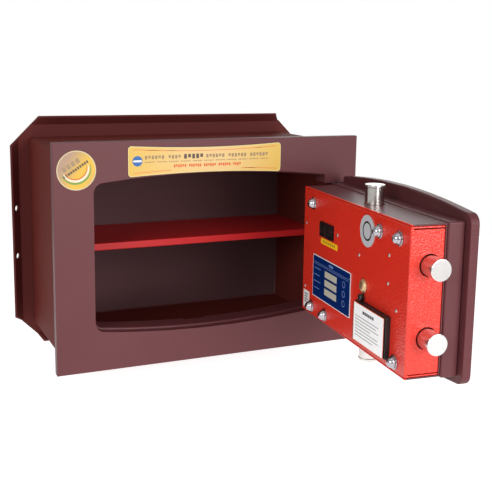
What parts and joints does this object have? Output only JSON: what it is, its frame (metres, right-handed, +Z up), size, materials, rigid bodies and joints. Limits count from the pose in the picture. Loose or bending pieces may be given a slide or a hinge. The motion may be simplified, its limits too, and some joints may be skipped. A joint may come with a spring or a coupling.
{
  "type": "wall safe",
  "caption": "Wall safe with a flanged front plate, a box body with an octagonal lipped back plate, an inner shelf and an open arched door whose geared knob throws round bolts.",
  "frame": {"origin": "middle of the rear plate's back face, at half height", "axes": "+X right as the user faces the safe, +Y into the wall, +Z up; the front face is at y = -0.2"},
  "size_m": [0.4192, 0.5149, 0.3052],
  "materials": {
    "maroon": "satin textured maroon enamel",
    "red": "satin textured red enamel",
    "gold_label": "printed foil",
    "steel": "brushed",
    "dark_steel": "dark oiled",
    "chrome": "bright polished",
    "brass": "turned",
    "blue_plate": "printed plate",
    "silver_label": "silver foil",
    "black_plastic": "satin moulded",
    "white_card": "matte printed",
    "cell_jacket": "printed sleeve",
    "green_board": "solder mask",
    "grey_plastic": "matte moulded"
  },
  "bodies": {
    "safe_body": {"front_plate": "maroon", "hinge_block_upper": "maroon", "hinge_block_lower": "maroon", "door_rebate": "maroon", "body_shell": "maroon", "rear_plate": "maroon", "shelf": "red", "front_label": "gold_label", "round_label": "gold_label"},
    "hinge_pins": {"hinge_pin_upper": "steel", "hinge_pin_lower": "steel"},
    "door": {"door_outer_plate": "maroon", "hinge_knuckle": "maroon", "door_inner_plate": "maroon", "hard_plate": "dark_steel", "lock_housing": "maroon", "lock_cover": "red", "cover_screw_1": "chrome", "cover_screw_2": "chrome", "cover_screw_3": "chrome", "cover_screw_4": "chrome", "cover_screw_5": "chrome", "cover_screw_6": "chrome", "spindle_bush": "brass", "rating_plate": "blue_plate", "round_sticker": "silver_label", "battery_holder": "black_plastic", "battery_lid": "white_card", "lid_catch": "black_plastic", "battery_cell_1": "cell_jacket", "battery_cell_2": "cell_jacket", "battery_cell_3": "cell_jacket", "socket_block": "black_plastic", "circuit_board": "green_board", "lock_solenoid": "dark_steel", "solenoid_plunger": "steel", "knob_rose": "chrome", "keypad_case": "black_plastic", "keypad_mat": "grey_plastic"},
    "knob_body": {"knob": "black_plastic", "spindle_pinion": "steel"},
    "top_bolt_body": {"top_bolt": "chrome", "top_rack": "steel"},
    "bottom_bolt_body": {"bottom_bolt": "chrome", "bottom_rack": "steel"},
    "side_bolt_body": {"side_bolt_upper": "chrome", "side_bolt_lower": "chrome", "side_carriage": "steel"},
    "key_01_body": {"key_01": "grey_plastic"},
    "key_02_body": {"key_02": "grey_plastic"},
    "key_03_body": {"key_03": "grey_plastic"},
    "key_04_body": {"key_04": "grey_plastic"},
    "key_05_body": {"key_05": "grey_plastic"},
    "key_06_body": {"key_06": "grey_plastic"},
    "key_07_body": {"key_07": "grey_plastic"},
    "key_08_body": {"key_08": "grey_plastic"},
    "key_09_body": {"key_09": "grey_plastic"},
    "key_10_body": {"key_10": "grey_plastic"},
    "key_11_body": {"key_11": "grey_plastic"},
    "key_12_body": {"key_12": "grey_plastic"}
  },
  "joints": [
    {"name": "door_swing", "type": "hinge", "parent": "safe_body", "child": "hinge_pins", "pos_m": [0.171, -0.19, 0], "axis": [0, 0, 1], "range_deg": [-62, 8]},
    {"name": "pin_turn", "type": "hinge", "parent": "hinge_pins", "child": "door", "pos_m": [0.171, -0.19, 0], "axis": [0, 0, 1], "range_deg": [-22, 0]},
    {"name": "side_slide", "type": "slide", "parent": "door", "child": "side_bolt_body", "axis": [-0.1045, -0.9945, 0], "range_m": [-0.02, 0]},
    {"name": "knob_turn", "type": "hinge", "parent": "door", "child": "knob_body", "pos_m": [0.15868, -0.40288, -0.006], "axis": [0.9945, -0.1045, 0], "range_deg": [-81.9, 0]},
    {"name": "top_slide", "type": "slide", "parent": "door", "child": "top_bolt_body", "axis": [0, 0, 1], "range_m": [-0.02, 0]},
    {"name": "bottom_slide", "type": "slide", "parent": "door", "child": "bottom_bolt_body", "axis": [0, 0, -1], "range_m": [-0.02, 0]},
    {"name": "key_01_press", "type": "slide", "parent": "door", "child": "key_01_body", "axis": [-0.9945, 0.1045, 0], "range_m": [0, 0.0012], "stiffness_N_per_m": 400, "springref_m": -0.0006},
    {"name": "key_02_press", "type": "slide", "parent": "door", "child": "key_02_body", "axis": [-0.9945, 0.1045, 0], "range_m": [0, 0.0012], "stiffness_N_per_m": 400, "springref_m": -0.0006},
    {"name": "key_03_press", "type": "slide", "parent": "door", "child": "key_03_body", "axis": [-0.9945, 0.1045, 0], "range_m": [0, 0.0012], "stiffness_N_per_m": 400, "springref_m": -0.0006},
    {"name": "key_04_press", "type": "slide", "parent": "door", "child": "key_04_body", "axis": [-0.9945, 0.1045, 0], "range_m": [0, 0.0012], "stiffness_N_per_m": 400, "springref_m": -0.0006},
    {"name": "key_05_press", "type": "slide", "parent": "door", "child": "key_05_body", "axis": [-0.9945, 0.1045, 0], "range_m": [0, 0.0012], "stiffness_N_per_m": 400, "springref_m": -0.0006},
    {"name": "key_06_press", "type": "slide", "parent": "door", "child": "key_06_body", "axis": [-0.9945, 0.1045, 0], "range_m": [0, 0.0012], "stiffness_N_per_m": 400, "springref_m": -0.0006},
    {"name": "key_07_press", "type": "slide", "parent": "door", "child": "key_07_body", "axis": [-0.9945, 0.1045, 0], "range_m": [0, 0.0012], "stiffness_N_per_m": 400, "springref_m": -0.0006},
    {"name": "key_08_press", "type": "slide", "parent": "door", "child": "key_08_body", "axis": [-0.9945, 0.1045, 0], "range_m": [0, 0.0012], "stiffness_N_per_m": 400, "springref_m": -0.0006},
    {"name": "key_09_press", "type": "slide", "parent": "door", "child": "key_09_body", "axis": [-0.9945, 0.1045, 0], "range_m": [0, 0.0012], "stiffness_N_per_m": 400, "springref_m": -0.0006},
    {"name": "key_10_press", "type": "slide", "parent": "door", "child": "key_10_body", "axis": [-0.9945, 0.1045, 0], "range_m": [0, 0.0012], "stiffness_N_per_m": 400, "springref_m": -0.0006},
    {"name": "key_11_press", "type": "slide", "parent": "door", "child": "key_11_body", "axis": [-0.9945, 0.1045, 0], "range_m": [0, 0.0012], "stiffness_N_per_m": 400, "springref_m": -0.0006},
    {"name": "key_12_press", "type": "slide", "parent": "door", "child": "key_12_body", "axis": [-0.9945, 0.1045, 0], "range_m": [0, 0.0012], "stiffness_N_per_m": 400, "springref_m": -0.0006}
  ],
  "couplings": [
    {"joint": "knob_turn", "follows": "side_slide", "rad_per_m": 71.429},
    {"joint": "top_slide", "follows": "side_slide", "ratio": 1},
    {"joint": "bottom_slide", "follows": "side_slide", "ratio": 1}
  ]
}
